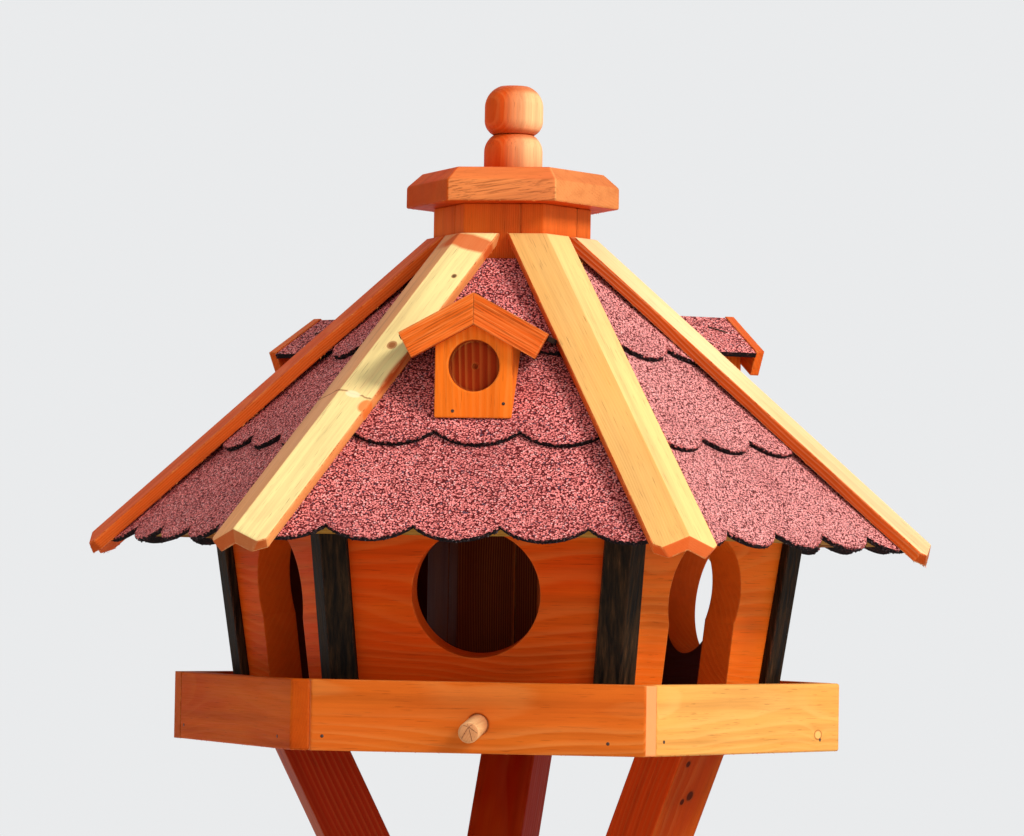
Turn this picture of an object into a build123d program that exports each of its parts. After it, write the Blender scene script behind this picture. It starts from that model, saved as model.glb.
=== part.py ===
from build123d import *
from math import acos, atan, cos, degrees, radians, sin, sqrt, tan
import os

# Hexagonal bird feeder with a roof silo, on a stand of three crossed legs.
# Millimetres, +Z up. The origin is on the ground under the vertical axis of the house.
# Corners of every hexagon lie at 0, 60, 120 ... degrees, and the front side faces -Y.

# Stand
stand_height = 885.0
leg_side = 36.0
leg_lean = 26.4
leg_top_radius = 128.4
right_leg_azimuth = -27.8
leg_gap = 0.3

# Tray
tray_radius = 205.0
rim_height = 41.0
rim_thickness = 10.0
floor_thickness = 15.0

# Perches
perch_diameter = 12.0
perch_reach = 40.0
perch_droop = 5.0
perch_height = 16.5
perch_fit = 0.1

# Walls, which lean outwards going up
house_radius = 158.5
wall_lean = 7.6
wall_thickness = 21.0
hole_diameter = 75.0
hole_height = 76.5
arch_width = 68.0

# Angled strips on the corners of the walls
post_wing = 12.5
post_thickness = 5.5

# Roof
roof_pitch = 45.8
roof_apex_height = 321.0
deck_thickness = 6.0
deck_length = 289.5

# Felt shingles
felt_thickness = 3.0
felt_overhang = 15.5
starter_width = 20.0
# Each course shows this share of the slope from the apex to the eave
course_share = 0.2574
course_overlap = 20.0
scallop_width = 50.0
scallop_depth = 11.5
hip_gap = 0.8
lap_gap = 0.1

# Hip battens
batten_wing = 19.0
batten_thickness = 7.6
batten_overhang = 13.7
batten_end_lean = 14.0
batten_clip = 8.0
batten_head_drop = 3.5

# Feed silo
silo_radius = 48.8
silo_board = 12.5
silo_rise = 15.0
feed_gap = 20.0
joint_gap = 0.2

# Lid
cap_radius = 66.0
cap_thickness = 21.5
cap_chamfer = 8.5
plug_depth = 18.0
plug_clearance = 2.0
finial_radius = 18.0
finial_shoulder_radius = 16.4
finial_groove_radius = 12.2
finial_top_radius = 9.5
finial_side_height = 14.0
finial_shoulder_height = 19.5
finial_groove_height = 24.0
finial_collar_height = 29.5
finial_crown_height = 45.5
finial_height = 54.5
finial_rounding = 6.0

# Dormers
dormer_setback = 11.0
dormer_width = 45.5
dormer_height = 73.5
dormer_slope = 28.6
dormer_hole_diameter = 30.0
dormer_hole_depth = 8.0
dormer_hole_height = 31.0
spur_diameter = 3.0
spur_depth = 2.5
bargeboard_length = 50.0
bargeboard_depth = 16.5
bargeboard_thickness = 5.5
bargeboard_rise = 0.8
dormer_felt_overhang = 0.5

# Names of the six sides and the six corners by their azimuths, anticlockwise from the front
side_list = ("front", "front_right", "back_right", "back", "back_left", "front_left")
corner_list = ("front_right", "right", "back_right", "back_left", "left", "front_left")
face_names = {-90 + 60 * index: name for index, name in enumerate(side_list)}
corner_names = {-60 + 60 * index: name for index, name in enumerate(corner_list)}
hole_sides = (-90, 30, 150)
# The dormers were set down by hand: how far each one stands sideways, and in towards the axis
dormer_places = {-90: (-3.5, 3.0), 30: (0.0, 5.0), 150: (0.0, 1.5)}

# Heights and distances that follow from the sizes above
tray_apothem = tray_radius * cos(radians(30))
floor_top = stand_height + floor_thickness
silo_apothem = silo_radius * cos(radians(30))
roof_apex = floor_top + roof_apex_height
slope_cos = cos(radians(roof_pitch))
slope_sin = sin(radians(roof_pitch))
slope_tan = tan(radians(roof_pitch))
far = 2 * tray_radius

os.makedirs("parts", exist_ok=True)


def felt_lean(run):
    """The angle to the deck of a course that reaches this far up it and laps over the next."""
    return atan((felt_thickness + lap_gap) / (run - course_overlap))


# Felt courses: where each one ends down the slope from the apex, and how far it reaches up
eave_distance = deck_length + felt_overhang
course_exposure = course_share * eave_distance
course_run = course_exposure + course_overlap
middle_tip = eave_distance - course_exposure
top_tip = middle_tip - course_exposure
top_run = top_tip - silo_apothem / slope_cos

# The plane through the lower edge of the top course, on which battens and dormers sit
felt_top = top_run * tan(felt_lean(top_run)) + felt_thickness
seat_apex = roof_apex + felt_top / slope_cos
batten_head = seat_apex + batten_thickness / slope_cos - silo_apothem * slope_tan
silo_top = batten_head + silo_rise


def save(piece, name):
    piece.part.label = name
    export_step(piece.part, f"parts/{name}.step")


def side_plane(azimuth):
    """The vertical plane through the axis at this azimuth, its normal anticlockwise."""
    angle = radians(azimuth)
    return Plane(origin=(0, 0, 0), z_dir=(-sin(angle), cos(angle), 0))


def upright_plane(azimuth, distance):
    """A vertical plane at this distance from the axis, its normal outwards."""
    angle = radians(azimuth)
    outward = Vector(cos(angle), sin(angle), 0)
    return Plane(origin=outward * distance, z_dir=outward)


def on_deck(distance, lift=0.0):
    """Distance from the axis and height of a point, by its place down the slope from the apex."""
    return (
        distance * slope_cos + lift * slope_sin,
        roof_apex - distance * slope_sin + lift * slope_cos,
    )


def turned(piece, azimuth, place=(0, 0, 0)):
    """A piece made facing +X, moved to this place and then turned to face this azimuth."""
    with BuildPart() as copy:
        with PolarLocations(0, 1, start_angle=azimuth):
            with Locations(place):
                add(piece.part)
    return copy


def ring(pieces):
    """Pieces made facing +X, turned to the azimuths that they are listed under, as one node."""
    with BuildPart() as group:
        for azimuth, piece in pieces.items():
            with PolarLocations(0, 1, start_angle=azimuth):
                add(piece.part)
    return group


def hexagon_board(apothem, thickness, bottom, top, gap, hand):
    """An upright board of a hexagonal ring, facing +X.

    One end runs through to the outside of the ring and the other butts behind its neighbour.
    hand is 1 where the anticlockwise end runs through, and -1 where the clockwise one does.
    """
    with BuildPart() as board:
        with BuildSketch(Plane.XY.offset(bottom)):
            with Locations((apothem - thickness / 2, 0)):
                Rectangle(thickness, 2 * apothem)
        extrude(amount=top - bottom)
        split(bisect_by=upright_plane(60 * hand, apothem), keep=Keep.BOTTOM)
        split(bisect_by=upright_plane(-60 * hand, apothem - thickness - gap), keep=Keep.BOTTOM)
    return board


def leg():
    """A square leg whose centre line passes nearest to the axis at azimuth 0."""
    lean = radians(leg_lean)
    radial = Vector(1, 0, 0)
    down = Vector(0, sin(lean), -cos(lean))
    across = down.cross(radial)
    radial_next = radial.rotate(Axis.Z, 120)
    common = down.cross(down.rotate(Axis.Z, 120)).normalized()
    # Crossing legs lie against each other along the common normal of their centre lines
    needed = leg_side * (abs(common.dot(radial)) + abs(common.dot(across))) + leg_gap
    pass_radius = needed / abs((radial_next - radial).dot(common))
    crossing_drop = sqrt(leg_top_radius**2 - pass_radius**2) / tan(lean)
    crossing = Plane(
        origin=(pass_radius, 0, stand_height - crossing_drop), x_dir=radial, z_dir=down
    )
    with BuildPart() as piece:
        with BuildSketch(crossing):
            Rectangle(leg_side, leg_side)
        extrude(amount=2 * stand_height, both=True)
        split(bisect_by=Plane.XY, keep=Keep.TOP)
        split(bisect_by=Plane.XY.offset(stand_height), keep=Keep.BOTTOM)
    return piece, degrees(acos(pass_radius / leg_top_radius))


def roof_cut(lift):
    """The plane parallel to the deck facing +X at this height above it."""
    distance, height = on_deck(0, lift)
    return Plane(
        origin=(distance, 0, height), x_dir=(0, 1, 0), z_dir=(slope_sin, 0, slope_cos)
    )


# Stand: three square legs that cross like an hourglass, cut level at the tray and the ground
leg_piece, leg_turn = leg()
for index, name in enumerate(("leg_right", "leg_back", "leg_left")):
    save(turned(leg_piece, right_leg_azimuth + 120 * index + leg_turn), name)

# Tray floor, between the rim boards
with BuildPart() as tray_floor:
    with BuildSketch(Plane.XY.offset(stand_height)):
        RegularPolygon(tray_apothem - rim_thickness, 6, major_radius=False, rotation=0)
    extrude(amount=floor_thickness)
save(tray_floor, "tray_floor")

# Perch: a dowel through the rim, drooping a little so that rain runs off. It is centred on the
# face of its rim board, whose anticlockwise end reaches past the corner
droop = radians(perch_droop)
perch_axis = Plane(
    origin=(tray_apothem, rim_thickness / cos(radians(30)) / 2, stand_height + perch_height),
    x_dir=(0, 1, 0),
    z_dir=(cos(droop), 0, -sin(droop)),
)
with BuildPart() as perch:
    with BuildSketch(perch_axis):
        Circle(perch_diameter / 2)
    extrude(amount=perch_reach)
    extrude(faces().sort_by(Axis.X)[0], amount=2 * rim_thickness)
    split(bisect_by=upright_plane(0, tray_apothem - rim_thickness), keep=Keep.TOP)
save(ring({azimuth: perch for azimuth in hole_sides}), "perches")

# Rim boards
rim_board = hexagon_board(
    tray_apothem, rim_thickness, stand_height, stand_height + rim_height, 0, 1
)
with BuildPart() as drilled_rim_board:
    add(rim_board.part)
    with BuildSketch(perch_axis):
        Circle(perch_diameter / 2 + perch_fit)
    extrude(amount=2 * rim_thickness, both=True, mode=Mode.SUBTRACT)
for azimuth, name in face_names.items():
    board = drilled_rim_board if azimuth in hole_sides else rim_board
    save(turned(board, azimuth), f"rim_{name}")


def meet_deck(foot):
    """Where a line that leans with the walls from this foot meets the underside of the deck."""
    lean_tan = tan(radians(wall_lean))
    deck_apex = roof_apex - deck_thickness / slope_cos
    rise = (deck_apex - floor_top - foot * slope_tan) / (1 + lean_tan * slope_tan)
    return foot + rise * lean_tan, floor_top + rise


# Walls: a blank side first, then one with a round hole and one with an arch to the floor
wall_foot = house_radius * cos(radians(30))
wall_inner_foot = wall_foot - wall_thickness / cos(radians(wall_lean))
wall_top = meet_deck(wall_foot)
wall_face = Plane(
    origin=(wall_foot, 0, floor_top),
    x_dir=(0, 1, 0),
    z_dir=(cos(radians(wall_lean)), 0, -sin(radians(wall_lean))),
)
hole_rise = hole_height / cos(radians(wall_lean))
with BuildPart() as blank_wall:
    with BuildSketch(Plane.XZ):
        Polygon(
            (wall_foot, floor_top),
            wall_top,
            meet_deck(wall_inner_foot),
            (wall_inner_foot, floor_top),
            align=None,
        )
    extrude(amount=house_radius, both=True)
    split(bisect_by=side_plane(30), keep=Keep.BOTTOM)
    split(bisect_by=side_plane(-30), keep=Keep.TOP)

with BuildPart() as hole_wall:
    add(blank_wall.part)
    with BuildSketch(wall_face):
        with Locations((0, hole_rise)):
            Circle(hole_diameter / 2)
    extrude(amount=2 * wall_thickness, both=True, mode=Mode.SUBTRACT)

with BuildPart() as arch_wall:
    add(hole_wall.part)
    with BuildSketch(wall_face):
        with Locations((0, 0)):
            Rectangle(arch_width, 2 * hole_rise)
    extrude(amount=2 * wall_thickness, both=True, mode=Mode.SUBTRACT)

for azimuth, name in face_names.items():
    wall = hole_wall if azimuth in hole_sides else arch_wall
    save(turned(wall, azimuth), f"wall_{name}")


def strip_plane(lower, upper, outward):
    """A sketch plane on one side of a corner: local x up along the corner, local y away from it."""
    return Plane(origin=lower, x_dir=Vector(upper) - Vector(lower), z_dir=outward)


# Corner posts: an angled strip over each corner of the walls
post_lower = (wall_foot, wall_foot * tan(radians(30)), floor_top)
post_upper = (wall_top[0], wall_top[0] * tan(radians(30)), wall_top[1])
post_length = (Vector(post_upper) - Vector(post_lower)).length
with BuildPart() as post:
    with BuildSketch(strip_plane(post_lower, post_upper, wall_face.z_dir)):
        with Locations((post_length / 2, 0)):
            Rectangle(post_length + 2 * wall_thickness, 2 * post_wing)
    extrude(amount=post_thickness)
    split(bisect_by=side_plane(30), keep=Keep.BOTTOM)
    split(bisect_by=Plane.XY.offset(floor_top), keep=Keep.TOP)
    split(bisect_by=roof_cut(-deck_thickness), keep=Keep.BOTTOM)
    mirror(about=side_plane(30))
save(ring({azimuth: post for azimuth in face_names}), "corner_posts")

# Roof panels, mitred at the hips, with a raised edge that lifts the first course of felt
starter_start = deck_length - starter_width


def under_eave_course(distance):
    """How far the underside of the eave course is above the deck at this distance."""
    return (distance - eave_distance + course_run) * tan(felt_lean(course_run))


with BuildPart() as roof_panel:
    with BuildSketch(Plane.XZ):
        Polygon(
            (silo_apothem, roof_apex - silo_apothem * slope_tan),
            on_deck(starter_start),
            on_deck(starter_start, under_eave_course(starter_start) - lap_gap),
            on_deck(deck_length, under_eave_course(deck_length)),
            on_deck(deck_length, -deck_thickness),
            (silo_apothem, roof_apex - silo_apothem * slope_tan - deck_thickness / slope_cos),
            align=None,
        )
    extrude(amount=far, both=True)
    split(bisect_by=side_plane(30), keep=Keep.BOTTOM)
    split(bisect_by=side_plane(-30), keep=Keep.TOP)
for azimuth, name in face_names.items():
    save(turned(roof_panel, azimuth), f"roof_panel_{name}")


def felt_strip(tip_distance, run, first_scallop):
    """One course of felt on the side facing +X, with a scalloped lower edge.

    tip_distance is where the scallops end, down the slope from the apex, and run is how far
    the course reaches from there up the deck.
    """
    lean = felt_lean(run)
    tilt = radians(roof_pitch) - lean
    length = run / cos(lean)
    tip = on_deck(tip_distance, run * tan(lean))
    plane = Plane(
        origin=(tip[0], 0, tip[1]), x_dir=(0, 1, 0), z_dir=(sin(tilt), 0, cos(tilt))
    )
    radius = (scallop_depth**2 + (scallop_width / 2) ** 2) / (2 * scallop_depth)
    half_width = tip[0] * tan(radians(30)) - hip_gap
    upper_half_width = half_width - length * cos(tilt) * tan(radians(30))
    reach = int(half_width // scallop_width) + 2
    with BuildPart() as strip:
        with BuildSketch(plane):
            with Locations((0, (scallop_depth + length) / 2)):
                Rectangle(2 * half_width, length - scallop_depth)
            with Locations(
                [(first_scallop + step * scallop_width, radius) for step in range(-reach, reach)]
            ):
                Circle(radius)
            Polygon(
                (-half_width, 0),
                (half_width, 0),
                (upper_half_width, length),
                (-upper_half_width, length),
                align=None,
                mode=Mode.INTERSECT,
            )
        extrude(amount=felt_thickness)
    return strip


# Felt courses. The strips were cut from the roll at any place, so their scallops don't line up
courses = {
    "shingles_eave": (eave_distance, course_run, -4.0),
    "shingles_middle": (middle_tip, course_run, 0.0),
    "shingles_top": (top_tip, top_run, -9.0),
}
strip_shift = 9.0
for name, (tip_distance, run, first_scallop) in courses.items():
    strips = {
        azimuth: felt_strip(tip_distance, run, first_scallop + strip_shift * index)
        for index, azimuth in enumerate(face_names)
    }
    save(ring(strips), name)


# Hip batten: a board of folded section that sits on both slopes, fitted round the silo
def hip_point(radius, lift):
    """The point on the hip at azimuth 30 at this radius, on a plane this far above the deck."""
    angle = radians(30)
    height = roof_apex + lift / slope_cos - radius * cos(angle) * slope_tan
    return Vector(radius * cos(angle), radius * sin(angle), height)


batten_tip_radius = on_deck(eave_distance)[0] / cos(radians(30)) + batten_overhang
batten_foot = hip_point(batten_tip_radius, felt_top)
batten_apex = hip_point(0, felt_top)
batten_tip = hip_point(batten_tip_radius, felt_top + batten_thickness)
batten_run = (batten_apex - batten_foot).length
clip_reach = 2 * batten_thickness
end_lean = radians(batten_end_lean)
batten_end = Plane(
    origin=batten_tip,
    z_dir=(
        cos(end_lean) * cos(radians(30)),
        cos(end_lean) * sin(radians(30)),
        -sin(end_lean),
    ),
)
with BuildPart() as hip_batten:
    with BuildSketch(strip_plane(batten_foot, batten_apex, roof_cut(0).z_dir)):
        Polygon(
            (-clip_reach, -batten_wing),
            (batten_run, -batten_wing),
            (batten_run, batten_wing),
            (batten_clip, batten_wing),
            (-clip_reach, batten_wing - batten_clip - clip_reach),
            align=None,
        )
    extrude(amount=batten_thickness)
    split(bisect_by=side_plane(30), keep=Keep.BOTTOM)
    split(bisect_by=batten_end, keep=Keep.BOTTOM)
    split(bisect_by=Plane.XY.offset(batten_head - batten_head_drop), keep=Keep.BOTTOM)
    mirror(about=side_plane(30))
    with BuildSketch(Plane.XY.offset(floor_top)):
        RegularPolygon(silo_radius, 6, rotation=30)
    extrude(amount=2 * roof_apex_height, mode=Mode.SUBTRACT)
for azimuth, name in corner_names.items():
    save(turned(hip_batten, azimuth - 30), f"hip_batten_{name}")

# Feed silo: six upright boards through the roof, open below so that the feed runs out
silo_piece = hexagon_board(
    silo_apothem, silo_board, floor_top + feed_gap, silo_top, joint_gap, -1
)
save(ring({azimuth: silo_piece for azimuth in face_names}), "feed_silo")

# Lid: a hexagonal cap with a plug that drops into the silo, and a turned knob
with BuildPart() as lid_cap:
    with BuildSketch(Plane.XY.offset(silo_top)):
        RegularPolygon(cap_radius, 6, rotation=0)
    extrude(amount=cap_thickness)
    chamfer(faces().sort_by(Axis.Z)[-1].edges(), length=cap_chamfer)
save(lid_cap, "lid_cap")

with BuildPart() as lid_plug:
    with BuildSketch(Plane.XY.offset(silo_top - plug_depth)):
        RegularPolygon(
            silo_apothem - silo_board - plug_clearance, 6, major_radius=False, rotation=0
        )
    extrude(amount=plug_depth)
save(lid_plug, "lid_plug")

# Knob: a turned block with a groove round it, its crown rounded
knob_foot = silo_top + cap_thickness
with BuildPart() as lid_finial:
    with BuildSketch(Plane.XZ):
        with BuildLine():
            Polyline(
                (0, knob_foot),
                (finial_radius, knob_foot),
                (finial_radius, knob_foot + finial_side_height),
                (finial_shoulder_radius, knob_foot + finial_shoulder_height),
                (finial_groove_radius, knob_foot + finial_groove_height),
                (finial_radius, knob_foot + finial_collar_height),
                (finial_radius, knob_foot + finial_crown_height),
                (finial_top_radius, knob_foot + finial_height),
                (0, knob_foot + finial_height),
                close=True,
            )
        make_face()
        fillet(vertices().group_by(Axis.X)[-1].sort_by(Axis.Y)[-1], finial_rounding)
    revolve(axis=Axis.Z)
save(lid_finial, "lid_finial")

# Dormers: a little house front on a wedge of wood that is cut to the slope of the roof
dormer_front = on_deck(middle_tip, felt_top)[0] - dormer_setback
dormer_sill = seat_apex - dormer_front * slope_tan
dormer_ridge = dormer_sill + dormer_height
gable = tan(radians(dormer_slope))
felt_drop = felt_thickness / cos(radians(dormer_slope))
felt_ridge = dormer_ridge - bargeboard_rise / cos(radians(dormer_slope))
front_plane = Plane(origin=(dormer_front, 0, 0), x_dir=(0, 1, 0), z_dir=(1, 0, 0))
half = dormer_width / 2
with BuildPart() as dormer_block:
    with BuildSketch(front_plane):
        Polygon(
            (-half, dormer_sill),
            (half, dormer_sill),
            (half, felt_ridge - felt_drop - half * gable),
            (0, felt_ridge - felt_drop),
            (-half, felt_ridge - felt_drop - half * gable),
            align=None,
        )
    extrude(amount=-dormer_front + silo_apothem)
    split(bisect_by=roof_cut(felt_top), keep=Keep.TOP)
    with BuildSketch(front_plane):
        with Locations((0, dormer_sill + dormer_hole_height)):
            Circle(dormer_hole_diameter / 2)
    extrude(amount=-dormer_hole_depth, mode=Mode.SUBTRACT)
    with BuildSketch(front_plane):
        with Locations((0, dormer_sill + dormer_hole_height)):
            Circle(spur_diameter / 2)
    extrude(amount=-dormer_hole_depth - spur_depth, mode=Mode.SUBTRACT)

slope_x = cos(radians(dormer_slope))
slope_y = sin(radians(dormer_slope))
board_end = (bargeboard_length * slope_x, dormer_ridge - bargeboard_length * slope_y)
board_foot = (
    board_end[0] - bargeboard_depth * slope_y,
    board_end[1] - bargeboard_depth * slope_x,
)
with BuildPart() as bargeboards:
    with BuildSketch(front_plane):
        Polygon(
            (joint_gap / 2, dormer_ridge - joint_gap / 2 * gable),
            board_end,
            board_foot,
            (
                joint_gap / 2,
                dormer_ridge - bargeboard_depth / slope_x - joint_gap / 2 * gable,
            ),
            align=None,
        )
        mirror(about=Plane.YZ)
    extrude(amount=bargeboard_thickness)

felt_length = bargeboard_length + dormer_felt_overhang
felt_end = (felt_length * slope_x, felt_ridge - felt_length * slope_y)
felt_foot = (
    felt_end[0] - felt_thickness * slope_y,
    felt_end[1] - felt_thickness * slope_x,
)
with BuildPart() as felt_roof:
    with BuildSketch(front_plane):
        Polygon(
            (0, felt_ridge),
            felt_end,
            felt_foot,
            (0, felt_ridge - felt_drop),
            align=None,
        )
        mirror(about=Plane.YZ)
    extrude(amount=-dormer_front + silo_apothem)
    split(bisect_by=roof_cut(felt_top), keep=Keep.TOP)

felt_roofs = []
for azimuth, (sideways, inward) in dormer_places.items():
    place = (-inward, sideways, inward * slope_tan)
    save(turned(dormer_block, azimuth, place), f"dormer_{face_names[azimuth]}")
    save(turned(bargeboards, azimuth, place), f"bargeboards_{face_names[azimuth]}")
    felt_roofs.append(turned(felt_roof, azimuth, place))

# The felt of the dormers is cut where it meets the hip battens
with BuildPart() as dormer_felt:
    for piece in felt_roofs:
        add(piece.part)
    for azimuth in corner_names:
        with PolarLocations(0, 1, start_angle=azimuth - 30):
            add(hip_batten.part, mode=Mode.SUBTRACT)
save(dormer_felt, "dormer_felt")
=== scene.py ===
import math
import random

import bmesh
import bpy
from mathutils import Matrix, Vector


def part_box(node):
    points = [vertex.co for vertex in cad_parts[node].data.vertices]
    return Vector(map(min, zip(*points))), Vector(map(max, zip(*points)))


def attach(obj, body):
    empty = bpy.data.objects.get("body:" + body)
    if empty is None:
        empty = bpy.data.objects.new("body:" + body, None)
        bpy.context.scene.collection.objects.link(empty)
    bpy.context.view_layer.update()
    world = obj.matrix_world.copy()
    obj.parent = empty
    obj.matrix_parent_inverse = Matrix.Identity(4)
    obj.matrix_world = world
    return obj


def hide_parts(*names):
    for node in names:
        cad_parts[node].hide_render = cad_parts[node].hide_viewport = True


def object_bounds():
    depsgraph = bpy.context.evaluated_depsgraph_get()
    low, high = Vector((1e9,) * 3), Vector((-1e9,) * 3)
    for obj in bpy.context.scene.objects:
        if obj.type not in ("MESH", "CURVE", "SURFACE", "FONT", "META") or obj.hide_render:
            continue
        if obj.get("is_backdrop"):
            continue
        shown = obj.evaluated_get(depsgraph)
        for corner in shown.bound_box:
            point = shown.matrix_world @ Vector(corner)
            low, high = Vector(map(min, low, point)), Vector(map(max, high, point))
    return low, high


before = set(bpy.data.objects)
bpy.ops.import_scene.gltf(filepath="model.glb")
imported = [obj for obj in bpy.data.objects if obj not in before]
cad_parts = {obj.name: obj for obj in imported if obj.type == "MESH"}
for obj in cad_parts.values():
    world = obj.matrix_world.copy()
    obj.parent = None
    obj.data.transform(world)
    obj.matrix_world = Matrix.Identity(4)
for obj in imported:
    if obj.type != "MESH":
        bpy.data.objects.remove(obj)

cad_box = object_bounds()

# Metres, in the frame of the CAD: +Z up, and the front faces -Y. Azimuths are in degrees.
UP = Vector((0, 0, 1))
FACES = {
    "front": -90,
    "front_right": -30,
    "back_right": 30,
    "back": 90,
    "back_left": 150,
    "front_left": -150,
}
CORNERS = {
    "right": 0,
    "back_right": 60,
    "back_left": 120,
    "left": 180,
    "front_left": -120,
    "front_right": -60,
}
LEGS = {"leg_right": -27.8, "leg_back": 92.2, "leg_left": -147.8}
DORMERS = ("front", "back_right", "back_left")

# How the CAD's pieces lie
ROOF_PITCH = math.radians(45.8)
HIP_PITCH = math.atan(math.tan(ROOF_PITCH) * math.cos(math.radians(30)))
GABLE_SLOPE = math.radians(28.6)
LEG_LEAN = math.radians(26.4)
PERCH_DROOP = math.radians(5)
# From a leg's azimuth to the level direction across it
LEG_TURN = 76.589

# What the stain does to wood: the late rings stay pale and the open grain goes deep
PALE = (255, 216, 144)
WARM = (255, 150, 40)
SOAKED = (96, 22, 2)
DARK_EDGE = (176, 66, 12)
SEAM = (132, 56, 18)
CRACK = (88, 34, 20)
BARK = (150, 56, 14)
# Painted shade: the dark colour laid on what lies inside the house, where shade falls
INSIDE_SHADE = (84, 14, 2)
END_GRAIN = (DARK_EDGE, 0.5)

# The colour of each board, which differs from board to board: partly its own stain, and partly
# painted light, lighter and yellower on the faces that look towards the key light and darker on
# those that look away.
# A rim board: its colour, how much its late wood shows, and its end grain.
RIMS = {
    "front": ((217, 100, 28), 0.4, ((252, 170, 110), 0.7)),
    "front_right": ((240, 170, 86), 0.4, END_GRAIN),
    "back_right": ((230, 124, 44), 0.4, END_GRAIN),
    "back": ((222, 104, 30), 0.4, END_GRAIN),
    "back_left": ((214, 96, 26), 0.4, END_GRAIN),
    "front_left": ((196, 72, 4), 0.15, END_GRAIN),
}
# Painted light: the front right wall, which looks towards the key light, is lighter and yellower.
WALLS = {
    "front": (224, 72, 4),
    "front_right": (246, 108, 24),
    "back_right": (238, 96, 20),
    "back": (232, 80, 10),
    "back_left": (228, 76, 8),
    "front_left": (226, 74, 8),
}
# A batten: its clockwise half, its other half, its edges, and its end grain. The colours are partly
# painted light: the half that looks towards the key light is paler, the side edges are darker as
# shade, and the left batten, which looks away from the light, is a darker orange.
BATTEN_EDGE = (226, 92, 24)
BATTEN_END = (DARK_EDGE, 0.85)
BATTENS = {
    "right": ((244, 210, 156), (240, 196, 130), BATTEN_EDGE, BATTEN_END),
    "back_right": ((232, 172, 100), (226, 160, 90), BATTEN_EDGE, BATTEN_END),
    "back_left": ((230, 166, 94), (226, 158, 88), BATTEN_EDGE, BATTEN_END),
    "left": ((236, 96, 44), (224, 92, 44), BATTEN_EDGE, BATTEN_END),
    "front_left": ((236, 168, 118), (252, 228, 156), (236, 150, 84), BATTEN_END),
    "front_right": ((236, 182, 108), (248, 206, 132), BATTEN_EDGE, ((214, 82, 26), 0.9)),
}
# A leg: its colour, and that of the faces that look level across it. The tones are partly painted
# light: the back leg, in the shade of the tray, is darkest, and the right leg is lighter, most of
# all on the faces across it.
LEG_TONES = {
    "leg_right": ((172, 56, 4), (204, 62, 4)),
    "leg_back": ((150, 28, 2), (150, 28, 2)),
    "leg_left": ((150, 36, 3), (144, 30, 2)),
}

# Knots by board: a place, a radius and the colour of the heart
KNOTS = {
    "rim_front_right": (((0.1932, -0.0205, 0.8952), 0.003, (246, 182, 104)),),
    "hip_batten_front_left": (
        ((-0.0258, -0.0733, 1.1666), 0.0014, (70, 24, 8)),
        ((-0.0563, -0.1163, 1.1223), 0.0026, (136, 62, 22)),
    ),
    "leg_right": (
        ((0.1197, -0.0635, 0.8587), 0.003, (60, 16, 4)),
        ((0.1152, -0.066, 0.8551), 0.0018, (60, 16, 4)),
        ((0.1195, -0.0783, 0.878), 0.002, (60, 16, 4)),
    ),
}
# The width of a knot as a share of its length
KNOT_SHAPE = 0.75
# How far a seed of 1 moves a board through the noise, along, across and through it
SEED_SHIFT = (0.731, 0.317, 0.113)
# The front left batten is spliced. It has a painted shadow of the cap on its head, and by its splice
# a darker strip along its edge, a chip and a painted highlight: for each a place, half its length,
# half its width and its colour.
SPLICES = {"hip_batten_front_left": (-0.0746, -0.1467, 1.0911)}
MARKS_AND_PAINTED_LIGHT = {
    "hip_batten_front_left": (
        # A painted shadow of the cap on the head
        ((-0.0196, -0.0518, 1.1890), 0.0075, 0.024, (208, 84, 30)),
        ((-0.0510, -0.1350, 1.1050), 0.026, 0.0052, (196, 76, 24)),
        ((-0.0662, -0.1530, 1.0845), 0.006, 0.004, (232, 118, 48)),
        # A painted highlight by the splice
        ((-0.0744, -0.1461, 1.0917), 0.003, 0.005, (253, 230, 184)),
    ),
}


def radial(azimuth):
    """The level direction at an azimuth."""
    angle = math.radians(azimuth)
    return Vector((math.cos(angle), math.sin(angle), 0))


def middle(name):
    """The middle of a CAD node."""
    low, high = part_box(name)
    return (Vector(low) + Vector(high)) / 2


def outermost(name, out):
    """How far a CAD node reaches from the axis along a direction."""
    return max(out.dot(vertex.co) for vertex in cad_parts[name].data.vertices)


def between(first, second, share):
    """A colour part of the way from one to another."""
    return tuple(a + (b - a) * share for a, b in zip(first, second))


def linear(red, green, blue):
    """A colour given in the 0 to 255 values of a screen, as Blender's linear values."""
    values = []
    for value in (red, green, blue):
        share = value / 255
        values.append(share / 12.92 if share < 0.04045 else ((share + 0.055) / 1.055) ** 2.4)
    return (*values, 1.0)


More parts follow.
